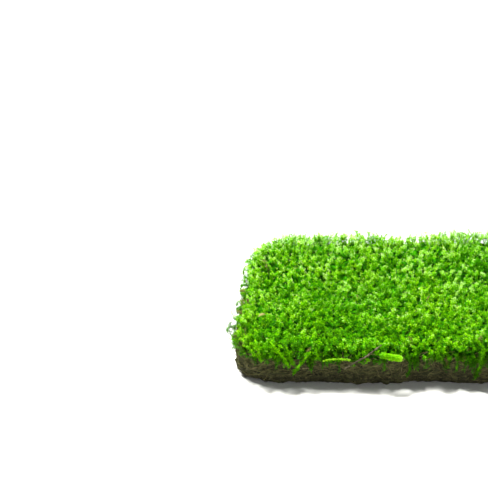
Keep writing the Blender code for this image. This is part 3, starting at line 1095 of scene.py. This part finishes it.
def add_humus(ground, finish, fibre):
    """The humus mat: its body, the fibres and crumbs of its torn side, and the rootlets below."""
    side = TornSide(tree_of(add_humus_body(finish)), ground)
    fibres = Tissue()
    for row in SIDE_FIBRES:
        side_fibres(fibres, side, *row)
    add_moss("side_fibres", fibres, fibre, "humus_mat")
    crumbs = Tissue()
    spots = side.at(random.uniform(0, side.around, CRUMBS), random.uniform(0.5 * MM, HUMUS_TOP, CRUMBS),
                    random.uniform(-0.3, 0.35, CRUMBS) * MM)
    add_crumbs(crumbs, spots, (0.3 * MM, 0.95 * MM), (0.05, 0.62))
    add_moss("humus_crumbs", crumbs, fibre, "humus_mat")
    rootlets = Tissue()
    add_underside(rootlets, ground, ROOTLETS)
    add_moss("underside_rootlets", rootlets, fibre, "humus_mat")
    return side


# ---------------------------------------------------------------- loose pieces at the front

def add_loose_shoots(finish):
    """Feathery shoots along the routes of the frame's hanging and arching shoots."""
    for name, radius, tone, (first_age, last_age), points in LOOSE_SHOOTS:
        route = smooth_route(points, 17) * MM
        length = np.linalg.norm(np.diff(route, axis=0), axis=1).sum()
        axes = Axes(route[None], tone, first_age, last_age, 1.0)
        tissue = Tissue()
        add_stems(tissue, axes, 14, 5, 0.34 * MM, 0.16 * MM)
        leaf = 1.05 * radius * MM
        add_leaves(tissue, axes, int(length / LEAF_EVERY), 0.0, leaf, 0.42 * leaf, spread=1.05)
        plumes = branches(axes, int(length / PLUME_EVERY), 0.0, 0.96, 1.75 * radius * MM, 0.85)
        add_leaves(tissue, plumes, 10, 0.10, 0.72 * leaf, 0.34 * leaf)
        add_moss(name + "_leafy", tissue, finish, name)


def add_fallen_shoot(finish):
    """A short thick shoot, torn off, whose bright leaves lie close against it."""
    axes = Axes(smooth_route(FALLEN_SHOOT, 17)[None] * MM, 0.72, 0.66, 0.84, 1.0)
    share = np.linspace(0.0, 1.0, 24)[None]
    where, _, side, other = axes.frames(share)
    radius = 1.35 * MM * (1.0 - 0.75 * np.abs(2.0 * share - 1.0) ** 9)
    tissue = Tissue()
    add_tubes(tissue, where, side, other, radius, 10, np.full(share.shape, 0.60), 0.50 + 0.10 * share)
    add_leaves(tissue, axes, 420, 0.0, 1.7 * MM, 0.74 * MM, spread=0.62, closed=0.30, rooted=1.1 * MM)
    add_moss("fallen_shoot_leafy", tissue, finish, "fallen_shoot")


def add_strand(name, points, radii, finish, node, knots):
    """A bare stem or twig: a tube with knots along it, thinning to its end. It gives its axis."""
    axes = Axes(smooth_route(points, 33)[None] * MM, 0.7, 0.6, 0.9, 1.0)
    share = np.linspace(0.0, 1.0, 64)[None]
    where, _, side, other = axes.frames(share)
    bumps = 1.0 + 0.16 * np.sin(share * 41.0) + 0.10 * np.sin(share * 97.0 + 1.0)
    for knot in knots:
        bumps = bumps + 0.55 * np.exp(-((share - knot) / 0.018) ** 2)
    taper = np.clip((1.0 - share) / 0.03, 0.25, 1.0) * np.clip(share / 0.02 + 0.4, 0.4, 1.0)
    radius = (radii[0] + (radii[1] - radii[0]) * share) * bumps * taper
    tissue = Tissue()
    add_tubes(tissue, where, side, other, radius, 9, share, share)
    add_piece(name, tissue.mesh(name, painted=False), finish, node)
    return axes


def add_creeping_leaves(axes, finish):
    """The few small leaves that the creeping stem has kept."""
    tissue = Tissue()
    add_leaves(tissue, axes, 110, 0.0, 1.25 * MM, 0.50 * MM)
    add_moss("creeping_stem_leaves", tissue, finish, "creeping_stem")


def add_litter(finish):
    """Dead husks and scraps that lie on the shoots' tips, each a thin curved blade."""
    x, y, long, turn, age = np.array(LITTER).T
    middle = np.column_stack([x, y, np.zeros(len(x))]) * MM
    middle[:, 2] = top_of_carpet(middle) + 1.2 * MM
    way = np.column_stack([np.cos(np.radians(turn)), np.sin(np.radians(turn)), np.full(len(x), 0.1)])
    half = way * (0.5 * long * MM)[:, None]
    axes = Axes(bent(middle - half, middle + 2.4 * MM * UP, middle + half), DEAD_TONE, age, age, 1.0)
    share = np.tile(np.linspace(0.0, 1.0, 9), (len(x), 1))
    where, _, side, other = axes.frames(share)
    wide = (0.12 + 0.85 * np.sin(math.pi * share) ** 0.8) * MM
    tissue = Tissue()
    add_tubes(tissue, where, side, 0.25 * other, wide, 8, np.full(share.shape, DEAD_TONE),
              age[:, None] - 0.25 * share)
    add_moss("litter", tissue, finish)


# ---------------------------------------------------------------- the stage

def add_stage():
    """A plain pale floor, a hair below the sheet."""
    reach = 4.0
    corners = [(-reach, -reach, 0), (reach, -reach, 0), (reach, reach, 0), (-reach, reach, 0)]
    mesh = bpy.data.meshes.new("floor")
    mesh.from_pydata(corners, [], [(0, 1, 2, 3)])
    made = Finish("pale_floor")
    mesh.materials.append(made.done(made.surface(**{"Base Color": (0.60, 0.60, 0.59), "Roughness": 0.7})))
    floor = bpy.data.objects.new("floor", mesh)
    floor.location.z = -0.05 * MM
    bpy.context.scene.collection.objects.link(floor)


def add_light(name, place, strength, softness, colour=(1.0, 1.0, 1.0)):
    """A far soft light that shines from that direction, softness degrees across."""
    lamp = bpy.data.lights.new(name, "SUN")
    lamp.energy = strength
    lamp.angle = math.radians(softness)
    lamp.color = colour
    made = bpy.data.objects.new(name, lamp)
    made.location = place
    made.rotation_euler = (-Vector(place)).to_track_quat("-Z", "Y").to_euler()
    bpy.context.scene.collection.objects.link(made)


def add_studio():
    """A sky that is bright at the horizon and dim above, a soft key from behind, and a weak front light."""
    sky = Finish("studio", bpy.data.worlds)
    height = sky.node("SeparateXYZ", inputs={"Vector": sky.node("TexCoord")}, output=2)
    dimming = [(0.12, (1.0, 1.0, 1.0)), (0.32, (0.20, 0.20, 0.20))]
    shade = sky.node("ValToRGB", {"stops": dimming}, {"Fac": height})
    bpy.context.scene.world = sky.done(sky.node("Background", inputs={"Color": shade}), "OutputWorld")
    add_light("key", (-0.30, 0.30, 1.0), 13.2, 14.0, (1.0, 1.0, 0.94))
    add_light("front_fill", (-0.2, -1.1, 0.6), 0.45, 35.0)
    bpy.context.scene.view_settings.view_transform = "Standard"


def add_camera():
    lens = bpy.data.cameras.new("camera")
    lens.lens = 98.0
    lens.sensor_width = 36.0
    camera = bpy.data.objects.new("camera", lens)
    camera.location = (-95.1 * MM, -745.8 * MM, 433.2 * MM)
    camera.rotation_euler = (math.radians(63.51), 0.0, 0.0)
    bpy.context.scene.collection.objects.link(camera)
    bpy.context.scene.camera = camera


def main():
    add_camera()
    add_studio()
    add_stage()
    ground = Ground(tree_of(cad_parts["humus_mat"].data))
    moss = moss_finish()
    side = add_humus(ground, humus_finish(), fibre_finish())
    add_moss_bed(ground, bed_shade_finish())
    add_carpet(ground, moss)
    add_edge_shoots(side, moss)
    add_fringe(side, moss)
    add_litter(moss)
    add_loose_shoots(moss)
    add_fallen_shoot(moss)
    stem = add_strand("creeping_stem_skin", CREEPING_STEM, (0.44 * MM, 0.30 * MM), pale_stem_finish(),
                      "creeping_stem", (0.2, 0.45, 0.72))
    add_creeping_leaves(stem, moss)
    add_strand("twig_bark", TWIG, (0.50 * MM, 0.34 * MM), bark_finish(), "twig",
               (0.15, 0.38, 0.6, 0.83))


main()
